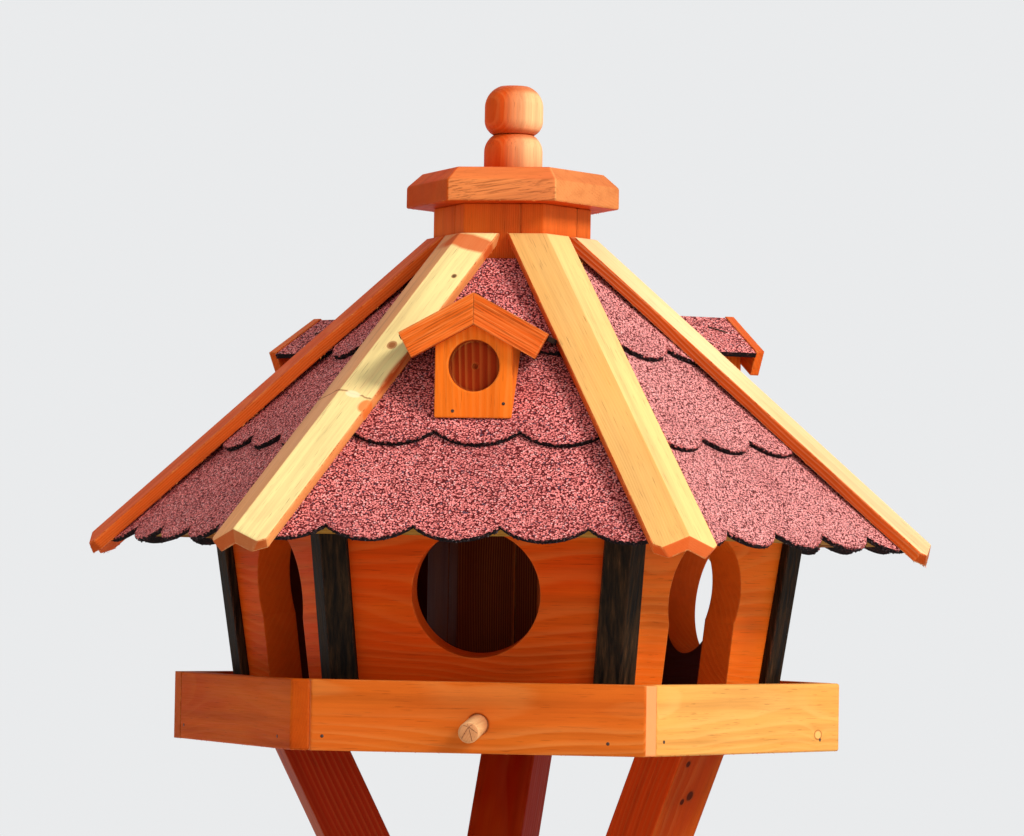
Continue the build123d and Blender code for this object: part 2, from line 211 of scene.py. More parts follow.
class Tree:
    """A material's node tree under construction."""

    def __init__(self, name):
        self.material = bpy.data.materials.new(name)
        self.material.use_nodes = True
        self.nodes = self.material.node_tree.nodes
        self.links = self.material.node_tree.links
        self.nodes.clear()
        self.output = self.node("OutputMaterial")

    def node(self, kind, **settings):
        made = self.nodes.new("ShaderNode" + kind)
        for key, value in settings.items():
            setattr(made, key, value)
        return made

    def feed(self, socket, value):
        """Link a socket to another, or set its value."""
        if isinstance(value, bpy.types.NodeSocket):
            self.links.new(value, socket)
        elif value is not None:
            socket.default_value = value

    def position(self):
        return self.node("TexCoord").outputs["Object"]

    def normal(self):
        return self.node("NewGeometry").outputs["Normal"]

    def facing(self, direction):
        """1 on faces that look along a direction, 0 on those beside it, -1 on those behind."""
        return self.vector("DOT_PRODUCT", self.normal(), direction)

    def math(self, operation, a, b=None, c=None, clamp=False):
        made = self.node("Math", operation=operation, use_clamp=clamp)
        for socket, value in zip(made.inputs, (a, b, c)):
            self.feed(socket, value)
        return made.outputs[0]

    def vector(self, operation, a, b=None):
        made = self.node("VectorMath", operation=operation)
        self.feed(made.inputs[0], a)
        self.feed(made.inputs["Scale" if operation == "SCALE" else 1], b)
        return made.outputs["Value"] if operation in ("DOT_PRODUCT", "LENGTH") else made.outputs[0]

    def combine(self, x, y, z):
        made = self.node("CombineXYZ")
        for socket, value in zip(made.inputs, (x, y, z)):
            self.feed(socket, value)
        return made.outputs[0]

    def separate(self, value):
        made = self.node("SeparateXYZ")
        self.feed(made.inputs[0], value)
        return made.outputs

    def mix(self, factor, a, b):
        """Two colours mixed. The node's sockets for colours are its inputs 6 and 7 and output 2."""
        made = self.node("Mix", data_type="RGBA")
        self.feed(made.inputs[0], factor)
        self.feed(made.inputs[6], a)
        self.feed(made.inputs[7], b)
        return made.outputs[2]

    def tint(self, under, share, colour):
        """A colour laid over what lies under it, by a share."""
        return self.mix(share, under, linear(*colour))

    def noise(self, place, frequency, detail=2.0, roughness=0.5):
        """Noise at its own frequency per metre along each of the three directions of the place."""
        made = self.node("TexNoise")
        self.feed(made.inputs["Vector"], self.vector("MULTIPLY", place, frequency))
        made.inputs["Scale"].default_value = 1.0
        made.inputs["Detail"].default_value = detail
        made.inputs["Roughness"].default_value = roughness
        return made.outputs[0]

    def cells(self, place, scale):
        made = self.node("TexVoronoi")
        self.feed(made.inputs["Vector"], place)
        made.inputs["Scale"].default_value = scale
        return made

    def ramp(self, factor, stops, interpolation="LINEAR"):
        """A ramp through stops, each a position and a share or a colour."""
        made = self.node("ValToRGB")
        made.color_ramp.interpolation = interpolation
        elements = made.color_ramp.elements
        while len(elements) < len(stops):
            elements.new(0.5)
        for element, (position, tone) in zip(elements, stops):
            element.position = position
            element.color = (tone, tone, tone, 1) if isinstance(tone, float) else linear(*tone)
        self.feed(made.inputs[0], factor)
        return made.outputs[0]

    def span(self, value, low, high, to_low=0.0, to_high=1.0):
        """A value brought from one span to another, and held at its ends."""
        made = self.node("MapRange")
        for socket, number in zip(made.inputs, (value, low, high, to_low, to_high)):
            self.feed(socket, number)
        return made.outputs[0]

    def bump(self, height, distance, strength, normal=None):
        made = self.node("Bump")
        made.inputs["Strength"].default_value = strength
        made.inputs["Distance"].default_value = distance
        self.feed(made.inputs["Height"], height)
        self.feed(made.inputs["Normal"], normal)
        return made.outputs[0]

    def rounded(self, radius):
        """The normal as edges rounded to this radius would give it."""
        made = self.node("Bevel", samples=4)
        made.inputs["Radius"].default_value = radius
        return made.outputs[0]

    def edge(self, bevel):
        """1 along the edges that a rounded normal shows, 0 away from them."""
        corner = self.math("SUBTRACT", 1.0, self.vector("DOT_PRODUCT", bevel, self.normal()))
        return self.span(corner, 0.01, 0.12)

    def shader(self, colour, roughness, normal, gloss=0.5, metal=0.0):
        made = self.node("BsdfPrincipled")
        self.feed(made.inputs["Base Color"], colour)
        self.feed(made.inputs["Roughness"], roughness)
        self.feed(made.inputs["Normal"], normal)
        self.feed(made.inputs["Specular IOR Level"], gloss)
        self.feed(made.inputs["Metallic"], metal)
        self.feed(self.output.inputs["Surface"], made.outputs[0])


class Board:
    """How a board lies: its middle and the directions along, across and through it."""

    def __init__(self, middle, along, across):
        self.middle = Vector(middle)
        self.along = Vector(along).normalized()
        self.across = Vector(across).normalized()
        self.through = self.along.cross(self.across).normalized()

    def coordinates(self, tree):
        """Sockets for the distances along, across and through the board."""
        return self.measured(tree, tree.vector("SUBTRACT", tree.position(), self.middle))

    def measured(self, tree, place):
        ways = (self.along, self.across, self.through)
        return [tree.vector("DOT_PRODUCT", place, way) for way in ways]


class MirroredBoards(Board):
    """Two boards that meet at a peak, laid out as one that is mirrored where they meet."""

    grain_shift = 0.37

    def __init__(self, middle, along, across, mirror):
        super().__init__(middle, along, across)
        self.mirror = mirror

    def coordinates(self, tree):
        place = tree.vector("SUBTRACT", tree.position(), self.middle)
        side = tree.vector("DOT_PRODUCT", place, self.mirror)
        back = tree.math("SUBTRACT", tree.math("ABSOLUTE", side), side)
        place = tree.vector("ADD", place, tree.vector("SCALE", tuple(self.mirror), back))
        length, width, depth = self.measured(tree, place)
        second = tree.math("GREATER_THAN", side, 0.0)
        shift = tree.math("MULTIPLY", second, self.grain_shift)
        return tree.math("ADD", length, shift), width, depth


class RingOfBoards(Board):
    """Six upright boards round the axis, each starting a little past the middle of its side."""

    joint_past_middle = 13.3
    board_width = 0.049
    radius = 0.045
    grain_shift = 0.43

    def __init__(self):
        super().__init__((0, 0, 0), UP, (1, 0, 0))

    def coordinates(self, tree):
        x, y, z = tree.separate(tree.position())
        turn = tree.math("DIVIDE", tree.math("ARCTAN2", y, x), math.radians(60))
        turn = tree.math("SUBTRACT", turn, (30 + self.joint_past_middle) / 60)
        length = tree.math("MULTIPLY_ADD", tree.math("FLOOR", turn), self.grain_shift, z)
        away = tree.vector("LENGTH", tree.combine(x, y, 0.0))
        depth = tree.math("SUBTRACT", away, self.radius)
        return length, tree.math("MULTIPLY", turn, self.board_width), depth


class Wood(Tree):
    """Stained softwood under construction.

    Each method from beyond() to saw_marks() lays one thing over the colour so far.
    """

    def __init__(self, name, board, body, seed):
        super().__init__(name)
        self.board = board
        self.body = body
        self.bevel = self.rounded(0.0015)
        self.length, self.width, self.depth = board.coordinates(self)
        ways = zip((self.length, self.width, self.depth), SEED_SHIFT)
        self.place = self.combine(*(self.math("ADD", way, seed * shift) for way, shift in ways))
        self.fibre = self.noise(self.place, (30, 1100, 1100), 3.0, 0.6)
        self.streak = self.noise(self.place, (4, 150, 150), 3.0, 0.55)
        drift = self.span(self.noise(self.place, (7, 26, 26), 3.0, 0.6), 0.42, 0.66, 0.0, 0.3)
        self.colour = self.mix(drift, linear(*body), linear(*between(body, WARM, 0.6)))

    def paler(self, share):
        """The board's colour where it has kept that share of its stain out."""
        return between(self.body, PALE, share)

    def oval(self, place, reach, breadth):
        """How far off a place is, counted as 1 on an oval of that half length and half width."""
        offset = Vector(place) - self.board.middle
        beside = self.math("SUBTRACT", self.length, offset.dot(self.board.along))
        beside = self.math("DIVIDE", beside, reach)
        aside = self.math("SUBTRACT", self.width, offset.dot(self.board.across))
        aside = self.math("DIVIDE", aside, breadth)
        return self.vector("LENGTH", self.combine(beside, aside, 0.0))

    def from_pith(self, distance, pith, frequencies, sway):
        """The distance from the pith line, which wanders by up to sway to either side."""
        aside = self.math("SUBTRACT", self.noise(self.place, frequencies), 0.5)
        aside = self.math("MULTIPLY", aside, sway * 2)
        return self.math("ADD", self.math("SUBTRACT", distance, pith), aside)

    def grow(self, pith, ring, sway, knots):
        """Growth rings, which knots push aside, and the late wood at the end of each ring."""
        width = self.from_pith(self.width, pith[0], (2.6, 9, 9), sway)
        depth = self.from_pith(self.depth, pith[1], (4.4, 7, 7), sway)
        for place, radius, _ in knots:
            near = self.oval(place, radius / KNOT_SHAPE, radius)
            push = self.math("DIVIDE", radius, self.math("MULTIPLY_ADD", near, near, 1.0))
            depth = self.math("ADD", depth, push)
        distance = self.vector("LENGTH", self.combine(width, depth, 0.0))
        jitter = self.math("MULTIPLY", self.noise(self.place, (6, 70, 70), 3.0), 0.7)
        rings = self.math("ADD", self.math("DIVIDE", distance, ring), jitter)
        stops = [(0.0, 0.0), (0.45, 0.1), (0.8, 1.0), (0.9, 0.9), (1.0, 0.0)]
        late = self.ramp(self.math("FRACT", rings), stops)
        strength = self.span(self.noise(self.place, (5, 45, 45)), 0.35, 0.65, 0.25, 1.0)
        self.late = self.math("MULTIPLY", late, strength)
        raised = self.math("MULTIPLY", self.late, 0.4)
        self.height = self.math("MULTIPLY_ADD", self.fibre, 0.6, raised)

    def cover(self, share, colour):
        self.colour = self.tint(self.colour, share, colour)

    def beyond(self, direction, distance, other):
        """Another colour on all that lies further out that way."""
        reach = self.vector("DOT_PRODUCT", self.position(), direction)
        self.cover(self.math("GREATER_THAN", reach, distance), other)

    def seam(self, place):
        """The ragged joint of a splice, straight across the board."""
        splice = (Vector(place) - self.board.middle).dot(self.board.along)
        ragged = self.noise(self.place, (60, 260, 260))
        ragged = self.math("MULTIPLY_ADD", ragged, 0.003, self.length)
        away = self.math("ABSOLUTE", self.math("SUBTRACT", ragged, splice))
        self.cover(self.span(away, 0.0003, 0.0009, 0.75, 0.0), SEAM)

    def sides(self, direction, other):
        """Another colour on the faces that look either way along a direction."""
        facing = self.math("ABSOLUTE", self.facing(direction))
        self.cover(self.span(facing, 0.55, 0.65), other)

    def lighten_lit_side(self, direction, other):
        """Painted light: another colour, the more of it the more a face looks that way, to make the
        side towards the key light lighter.
        """
        self.cover(self.span(self.facing(direction), 0.1, 1.0), other)

    def pit(self, place, radius, other):
        """The bottom of a blind hole in another colour, darker in a ring at its edge."""
        near = self.vector("LENGTH", self.vector("SUBTRACT", self.position(), place))
        self.cover(self.math("LESS_THAN", near, radius), other)
        inner = self.span(near, radius * 0.8, radius * 0.95)
        outer = self.span(near, radius, radius * 1.06, 1.0, 0.0)
        self.cover(self.math("MULTIPLY", self.math("MULTIPLY", inner, outer), 0.6), SOAKED)

    def soak(self):
        """Stain that open grain and pores have drunk in."""
        cloud = self.noise(self.place, (5, 14, 14), 3.0)
        pores = self.span(self.noise(self.place, (70, 1500, 1500), 1.0), 0.66, 0.74)
        deep = self.math("MULTIPLY", self.span(self.streak, 0.45, 0.72), 0.24)
        deep = self.math("MULTIPLY_ADD", self.span(cloud, 0.45, 0.72), 0.2, deep)
        deep = self.math("MULTIPLY_ADD", self.span(self.fibre, 0.5, 0.8), 0.14, deep)
        self.cover(self.math("MULTIPLY_ADD", pores, 0.3, deep, clamp=True), SOAKED)

    def late_lines(self, share):
        """Late wood, which takes less stain."""
        self.cover(self.math("MULTIPLY", self.late, share), self.paler(0.35))

    def shade_inner_face(self, direction, other):
        """Painted shade: another colour on the faces that look along a direction, for the inner
        faces of the house.
        """
        self.cover(self.span(self.facing(direction), 0.6, 0.8, 0.0, 0.9), other)

    def ends(self, colour, share):
        """End grain."""
        end = self.math("ABSOLUTE", self.facing(self.board.along))
        self.cover(self.span(end, 0.55, 0.72, 0.0, share), colour)

    def crack(self, angle):
        """A crack in the end grain, from its middle outwards."""
        turn = radial(angle)
        flat = self.combine(self.width, self.depth, 0.0)
        reach = self.vector("DOT_PRODUCT", flat, turn)
        aside = self.math("ABSOLUTE", self.vector("DOT_PRODUCT", flat, UP.cross(turn)))
        ragged = self.noise(self.place, (300, 900, 900))
        aside = self.math("MULTIPLY_ADD", ragged, 0.0006, aside)
        thin = self.span(aside, 0.00035, 0.0006, 0.8, 0.0)
        split = self.math("MULTIPLY", thin, self.span(reach, 0.0, 0.0006))
        end = self.span(self.math("ABSOLUTE", self.facing(self.board.along)), 0.9, 0.95)
        self.cover(self.math("MULTIPLY", split, end), CRACK)

    def mark(self, place, reach, breadth, colour):
        """A patch of another colour: a chip, a darker strip, a painted shadow, a painted highlight.
        """
        near = self.math("MULTIPLY_ADD", self.streak, 0.5, self.oval(place, reach, breadth))
        self.cover(self.span(near, 1.0, 1.3, 0.85, 0.0), colour)

    def knot(self, place, radius, colour):
        """A knot's heart, and the ring of bark round it."""
        near = self.oval(place, radius / KNOT_SHAPE, radius)
        near = self.math("MULTIPLY_ADD", self.streak, 0.5, near)
        self.cover(self.span(near, 0.9, 1.35, 0.9, 0.0), colour)
        bark = self.math("ABSOLUTE", self.math("SUBTRACT", near, 1.2))
        self.cover(self.span(bark, 0.05, 0.25, 0.6, 0.0), BARK)

    def wear(self, share):
        """Edges that handling and weather have worn pale."""
        ragged = self.span(self.noise(self.place, (90, 260, 260), 3.0, 0.7), 0.4, 0.62)
        worn = self.math("MULTIPLY", self.edge(self.bevel), ragged)
        self.cover(self.math("MULTIPLY", worn, share), self.paler(0.5))

    def saw_marks(self, direction, strength, slanting):
        """Marks of the saw on the faces that look along a direction."""
        rough = self.span(self.facing(direction), 0.7, 0.9, 0.0, strength)
        track = slanting_round(self) if slanting else self.place
        blade = self.noise(track, (26, 1000, 1000), 3.0, 0.6)
        dark = self.math("MULTIPLY", self.span(blade, 0.52, 0.62), rough)
        light = self.math("MULTIPLY", self.span(blade, 0.36, 0.46, 1.0, 0.0), rough)
        self.cover(dark, SOAKED)
        self.cover(light, self.paler(0.45))
        self.height = self.math("MULTIPLY_ADD", dark, -1.5, self.height)

    def finished(self):
        surface = self.bump(self.height, 0.0003, 0.5, self.bevel)
        roughness = self.span(self.fibre, 0.3, 0.7, 0.44, 0.6)
        self.shader(self.colour, roughness, surface, gloss=0.04)
        return self.material


def slanting_round(tree):
    """Coordinates that run round the axis and rise a little, for marks on a piece's sides."""
    x, y, z = tree.separate(tree.position())
    run = tree.math("MULTIPLY", tree.math("ARCTAN2", y, x), 0.06)
    away = tree.vector("LENGTH", tree.combine(x, y, 0.0))
    return tree.combine(
        run, tree.math("MULTIPLY_ADD", run, -0.14, z), tree.math("MULTIPLY", away, 0.3)
    )


def wood(
    name,
    board,
    body,
    seed=0.0,
    pith=(0.05, 0.09),
    ring=0.0022,
    sway=0.008,
    lines=0.5,
    second=None,
    edges=None,
    lit_side=None,
    pit=None,
    inside=None,
    end_grain=END_GRAIN,
    cracks=(),
    wear=0.6,
    saw=None,
):
    """The wood of one board, with what the tables above say of its knots, splice and marks.

    body is its colour, and seed sets it apart from others. pith is the pith line's place across
    and through the board, ring the width of a growth ring, sway how far the pith line wanders and
    lines how much the late wood shows. second is a direction, a distance and the colour of what
    lies further out that way. edges, the lit side and inside are each a direction and a colour:
    the lit side is painted light, the more of it the more a face looks that way, and inside is
    painted shade on the faces that look that way. pit is the place, the radius and the colour of a
    hole's bottom. end_grain is a colour and how much of it shows, and cracks are the angles at which
    the end has split. saw is a direction, how strong the marks of the saw are on the faces that
    look that way, and whether they slant round the axis.
    """
    knots = KNOTS.get(name, ())
    made = Wood(name, board, body, seed)
    made.grow(pith, ring, sway, knots)
    if second is not None:
        made.beyond(*second)
    if name in SPLICES:
        made.seam(SPLICES[name])
    if edges is not None:
        made.sides(*edges)
    # Painted light on the side that looks towards the key light
    if lit_side is not None:
        made.lighten_lit_side(*lit_side)
    if pit is not None:
        made.pit(*pit)
    made.soak()
    made.late_lines(lines)
    if inside is not None:
        made.shade_inner_face(*inside)
    made.ends(*end_grain)
    for angle in cracks:
        made.crack(angle)
    for mark in MARKS_AND_PAINTED_LIGHT.get(name, ()):
        made.mark(*mark)
    for knot in knots:
        made.knot(*knot)
    made.wear(wear)
    if saw is not None:
        made.saw_marks(*saw)
    return made.finished()


# The granules of the felt: each colour takes the share of them up to the next position
GRANULES = (
    (0.0, (76, 58, 76)),
    (0.05, (188, 88, 86)),
    (0.25, (236, 126, 122)),
    (0.6, (254, 148, 144)),
    (0.9, (255, 182, 178)),
)
GRANULES_PER_METRE = 880.0


def felt(name, slant):
    """Bitumen felt: mineral granules on faces that look up, black bitumen on the cut edges.

    slant is the lowest upward slant of a granule face, as the z of its normal.
    """
    tree = Tree(name)
    place = tree.position()
    grains = tree.cells(place, GRANULES_PER_METRE)
    from_middle = grains.outputs["Distance"]
    chosen = tree.node("SeparateColor")
    tree.feed(chosen.inputs[0], grains.outputs["Color"])
    grain = tree.ramp(chosen.outputs[0], GRANULES, "CONSTANT")
    # Painted light: the granules are paler on faces that look towards the key light.
    sunlit_felt = tree.span(tree.facing(radial(-30)), 0.3, 0.75, 0.0, 0.6)
    grain = tree.tint(grain, sunlit_felt, (250, 180, 178))
    gap = tree.span(from_middle, 0.44, 0.62)
    grain = tree.tint(grain, gap, (88, 24, 26))
    patches = tree.span(tree.noise(place, (26, 26, 26), 3.0), 0.5, 0.75, 0.0, 0.3)
    grain = tree.tint(grain, patches, (120, 48, 52))
    rope = tree.noise(place, (500, 500, 500), 3.0, 0.7)
    bitumen = tree.mix(tree.span(rope, 0.55, 0.7), linear(24, 17, 18), linear(92, 46, 46))
    size = tree.math("MULTIPLY_ADD", chosen.outputs[1], 0.6, 0.6)
    bumps = tree.math("MULTIPLY", tree.math("SUBTRACT", 1.0, from_middle), size)
    top = tree.math("GREATER_THAN", tree.separate(tree.normal())[2], slant)
    surface = tree.bump(tree.mix(top, rope, bumps), 0.0005, 0.8)
    tree.shader(tree.mix(top, bitumen, grain), 0.85, surface, gloss=0.1)
    return tree.material


def dark_stain(name):
    """Black-brown stain on brushed wood, its grooves running up the strip, worn at the edges."""
    tree = Tree(name)
    place = tree.position()
    grooves = tree.noise(place, (420, 420, 9), 3.0, 0.6)
    fine = tree.noise(place, (1500, 1500, 40), 2.0, 0.6)
    patches = tree.noise(place, (30, 30, 12), 3.0, 0.6)
    tone = tree.math("MULTIPLY_ADD", grooves, 0.7, tree.math("MULTIPLY", patches, 0.3))
    stops = ((0.38, (12, 6, 2)), (0.5, (38, 25, 12)), (0.62, (60, 40, 22)), (0.74, (100, 62, 36)))
    colour = tree.ramp(tone, stops)
    bevel = tree.rounded(0.0014)
    worn = tree.math("MULTIPLY", tree.edge(bevel), tree.span(fine, 0.45, 0.6, 0.0, 0.9))
    colour = tree.tint(colour, worn, (158, 78, 42))
    surface = tree.bump(tree.math("MULTIPLY_ADD", fine, 0.3, grooves), 0.0008, 0.6, bevel)
    tree.shader(colour, tree.span(grooves, 0.3, 0.7, 0.55, 0.75), surface, gloss=0.1)
    return tree.material


def steel(name):
    """Bright nail steel that has begun to rust."""
    tree = Tree(name)
    rust = tree.noise(tree.position(), (1800, 1800, 1800), 3.0, 0.6)
    rust = tree.span(rust, 0.45, 0.6)
    colour = tree.mix(rust, linear(88, 70, 60), linear(60, 24, 12))
    tree.shader(colour, tree.span(rust, 0.0, 1.0, 0.4, 0.8), None, metal=0.5)
    return tree.material


def specks(name, frequency, stops, contrast=0.7, roughness=0.85, gloss=0.2):
    """Small loose bits, whose colour differs from bit to bit."""
    tree = Tree(name)
    speck = tree.noise(tree.position(), (frequency, frequency, frequency), 2.0, contrast)
    tree.shader(tree.ramp(speck, stops), roughness, None, gloss)
    return tree.material


def paint(material, *names):
    """Give CAD nodes a material."""
    for name in names:
        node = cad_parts[name]
        node.data.materials.clear()
        node.data.materials.append(material)


def soften(name, width):
    """Round the sawn edges of a CAD node, as sanding leaves them."""
    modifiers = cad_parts[name].modifiers
    weld = modifiers.new("weld", "WELD")
    weld.merge_threshold = 0.00002
    flat = modifiers.new("flat", "DECIMATE")
    flat.decimate_type = "DISSOLVE"
    flat.angle_limit = math.radians(1)
    bevel = modifiers.new("bevel", "BEVEL")
    bevel.width = width
    bevel.segments = 2
    bevel.limit_method = "ANGLE"
    bevel.angle_limit = math.radians(30)
    modifiers.new("normals", "WEIGHTED_NORMAL").keep_sharp = False


def paint_tray():
    for index, (name, (body, lines, end_grain)) in enumerate(RIMS.items()):
        rim = f"rim_{name}"
        board = Board(middle(rim), UP.cross(radial(FACES[name])), UP)
        # Painted light: each rim takes its tone from the table above, lighter on the faces toward
        # the key light.
        grain = wood(
            rim, board, body, seed=1.3 * index, pith=(0.012, 0.085), ring=0.0013, sway=0.006,
            lines=lines, end_grain=end_grain,
        )
        paint(grain, rim)
        soften(rim, 0.0014)
    board = Board(middle("tray_floor"), (1, 0, 0), (0, 1, 0))
    paint(wood("tray_floor", board, body=(196, 90, 34)), "tray_floor")


def paint_house():
    for index, (name, body) in enumerate(WALLS.items()):
        wall = f"wall_{name}"
        out = radial(FACES[name])
        # Painted shade: the faces inside the house take the dark inside colour.
        grain = wood(
            wall, Board(middle(wall), UP.cross(out), UP), body, seed=2.1 * index, pith=(0.03, 0.1),
            ring=0.0034, sway=0.02, lines=0.32, inside=(-out, INSIDE_SHADE),
            end_grain=((236, 92, 22), 0.6), wear=0.35,
        )
        paint(grain, wall)
    paint(dark_stain("corner_posts"), "corner_posts")
    soften("corner_posts", 0.0009)


def paint_roof():
    for index, (name, azimuth) in enumerate(FACES.items()):
        panel = f"roof_panel_{name}"
        out = radial(azimuth)
        board = Board(middle(panel), UP.cross(out), out)
        grain = wood(panel, board, body=(158, 112, 44), seed=0.7 * index, wear=0.3)
        paint(grain, panel)
    paint(felt("roof_felt", 0.68), "shingles_eave", "shingles_middle", "shingles_top")


def paint_battens():
    for index, (name, (clockwise, other, edge, end_grain)) in enumerate(BATTENS.items()):
        batten = f"hip_batten_{name}"
        out = radial(CORNERS[name])
        tangent = UP.cross(out)
        down = out * math.cos(HIP_PITCH) - UP * math.sin(HIP_PITCH)
        # Painted light: the halves and edges take the lit and shaded colours of the table above.
        grain = wood(
            batten, Board(middle(batten), down, tangent), clockwise, seed=3.7 + index,
            pith=(0.03, 0.06), ring=0.0014, lines=0.3, second=(tangent, 0.0, other),
            edges=(tangent, edge), end_grain=end_grain, wear=0.8,
        )
        paint(grain, batten)
        soften(batten, 0.0009)


def paint_silo():
    """The silo, with painted light on the side that looks towards the key light, and painted shade
    below the roof, inside the house.
    """
    open_above = 1.16
    grain = wood(
        "feed_silo", RingOfBoards(), body=(216, 84, 20), seed=4.0, pith=(0.4, 0.06), ring=0.0014,
        lines=0.3, second=(-UP, -open_above, INSIDE_SHADE), lit_side=(radial(-10), (224, 102, 36)),
        wear=0.25,
    )
    paint(grain, "feed_silo")
    soften("feed_silo", 0.0009)


def paint_lid():
    grain_rise = math.radians(8)
    along = Vector((math.cos(grain_rise), 0, math.sin(grain_rise)))
    # Painted light: the cap is lighter on the side that looks towards the key light.
    grain = wood(
        "lid_cap", Board(middle("lid_cap"), along, (0, 1, 0)), body=(212, 66, 8), seed=5.0,
        pith=(0.02, 0.08), ring=0.0018, lit_side=(radial(-30), (255, 184, 112)),
        saw=(radial(-90), 0.42, True),
    )
    paint(grain, "lid_cap", "lid_plug")
    soften("lid_cap", 0.001)


def hole_bottom(name):
    """The middle of the bottom of a dormer's blind hole."""
    depth = 0.008
    above_foot = 0.031
    block = f"dormer_{name}"
    out = radial(FACES[name])
    centre = middle(block)
    sideways = centre - out * out.dot(centre)
    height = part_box(block)[0][2] + above_foot
    return out * (outermost(block, out) - depth) + Vector((sideways.x, sideways.y, height))


def paint_dormers():
    pit_radius = 0.0158
    for index, name in enumerate(DORMERS):
        out = radial(FACES[name])
        tangent = UP.cross(out)
        block = f"dormer_{name}"
        grain = wood(
            block, Board(middle(block), UP, tangent), body=(250, 116, 26), seed=7.0 + index,
            ring=0.0018, pit=(hole_bottom(name), pit_radius, (158, 44, 8)),
        )
        paint(grain, block)
        soften(block, 0.0008)
        gable = f"bargeboards_{name}"
        along = tangent * math.cos(GABLE_SLOPE) - UP * math.sin(GABLE_SLOPE)
        boards = MirroredBoards(middle(gable), along, along.cross(out), tangent)
        grain = wood(
            gable, boards, body=(240, 100, 30), seed=9.0 + index, pith=(0.03, 0.05), lines=0.3,
            wear=1.0, saw=(out, 0.45, False),
        )
        paint(grain, gable)
    paint(felt("dormer_felt", 0.6), "dormer_felt")


def paint_stand():
    for index, (name, azimuth) in enumerate(LEGS.items()):
        body, sides = LEG_TONES[name]
        across = radial(azimuth + LEG_TURN)
        down = UP.cross(across) * math.sin(LEG_LEAN) - UP * math.cos(LEG_LEAN)
        # Painted light: each leg and its faces across take the lit and shaded tones of the table
        # above.
        grain = wood(
            name, Board(middle(name), down, across), body, seed=11.0 + index, pith=(0.01, 0.05),
            ring=0.0034, sway=0.016, lines=0.22, edges=(across, sides),
        )
        paint(grain, name)
        soften(name, 0.0015)


def piece(name, shape, material, body):
    """A new piece that rides on a body, from a bmesh."""
    mesh = bpy.data.meshes.new(name)
    bmesh.ops.recalc_face_normals(shape, faces=shape.faces)
    shape.to_mesh(mesh)
    shape.free()
    mesh.materials.append(material)
    made = bpy.data.objects.new(name, mesh)
    bpy.context.scene.collection.objects.link(made)
    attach(made, body)
    return made


def lathe(shape, profile, sides, foot, axis):
    """Sweep (distance from the axis, height) points round an axis that starts at foot."""
    turn = axis.to_track_quat("Z", "Y").to_matrix()
    rings = []
    for radius, height in profile:
        count = sides if radius > 0 else 1
        ring = []
        for step in range(count):
            angle = 2 * math.pi * step / count
            point = Vector((radius * math.cos(angle), radius * math.sin(angle), height))
            ring.append(shape.verts.new(foot + turn @ point))
        rings.append(ring)
    for lower, upper in zip(rings, rings[1:]):
        for step in range(sides):
            corners = [lower[step % len(lower)], lower[(step + 1) % len(lower)]]
            corners += [upper[(step + 1) % len(upper)], upper[step % len(upper)]]
            face = shape.faces.new(list(dict.fromkeys(corners)))
            face.smooth = True


def arc(middle_radius, middle_height, radius, start, end, steps):
    """Profile points on an arc, its angles in degrees from level."""
    points = []
    for step in range(steps + 1):
        angle = math.radians(start + (end - start) * step / steps)
        across = middle_radius + radius * math.cos(angle)
        points.append((across, middle_height + radius * math.sin(angle)))
    return points


def make_knob():
    """The turned knob: a drum with a rounded shoulder, a groove, and a domed drum above it."""
    radius = 0.018
    low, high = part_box("lid_finial")
    top = high.z - low.z
    # The lower drum's shoulder, the upper drum's foot and its dome: the height at which each
    # meets the drum's side, its radius, the angles where it starts and ends, and its steps
    rounds = (
        (0.0135, 0.0124, 0, 57.8, 12),
        (0.033, 0.0099, -65.5, 0, 14),
        (0.041, 0.0139, 0, 69.4, 18),
    )
    profile = [(0.0, 0.0), (radius - 0.0008, 0.0), (radius, 0.0008)]
    for height, rounding, start, end, steps in rounds:
        profile += arc(radius - rounding, height, rounding, start, end, steps)
    profile += [(radius / 3, top - 0.0002), (0.0, top)]
    shape = bmesh.new()
    lathe(shape, profile, 96, UP * low.z, UP)
    # Painted light: the knob is lighter on the side that looks towards the key light.
    grain = wood(
        "knob", Board(middle("lid_finial"), UP, (1, 0, 0)), body=(234, 84, 24), seed=6.0,
        pith=(0.06, 0.05), ring=0.002, lines=0.3, lit_side=(radial(-20), (255, 206, 146)), wear=0.2,
    )
    knob = piece("knob", shape, grain, "lid")
    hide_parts("lid_finial")


def make_dowels():
    """The raw dowels, a little worn at the end, that stand out under the round holes."""
    radius = 0.006
    sunk = 0.0098
    proud = 0.04
    worn = 0.0015
    above_foot = 0.0165
    low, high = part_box("rim_front")
    aside = (high.y - low.y) / math.cos(math.radians(30)) / 2
    profile = [(0.0, -sunk), (radius, -sunk), (radius, proud - worn)]
    profile += arc(radius - worn, proud - worn, worn, 15, 75, 4)
    profile += [(radius / 2, proud), (0.0, proud)]
    for name in DORMERS:
        out = radial(FACES[name])
        axis = out * math.cos(PERCH_DROOP) - UP * math.sin(PERCH_DROOP)
        on_rim = out * -low.y + UP.cross(out) * aside + UP * (low.z + above_foot)
        shape = bmesh.new()
        lathe(shape, profile, 40, on_rim, axis)
        grain = wood(
            f"dowel_{name}", Board(on_rim, axis, UP), body=(232, 178, 124), pith=(0.004, 0.014),
            ring=0.0011, end_grain=(DARK_EDGE, 0.4), cracks=(20, 75, 150, 195, 235, 300), wear=0.2,
        )
        piece(f"dowel_{name}", shape, grain, "feeder")
    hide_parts("perches")


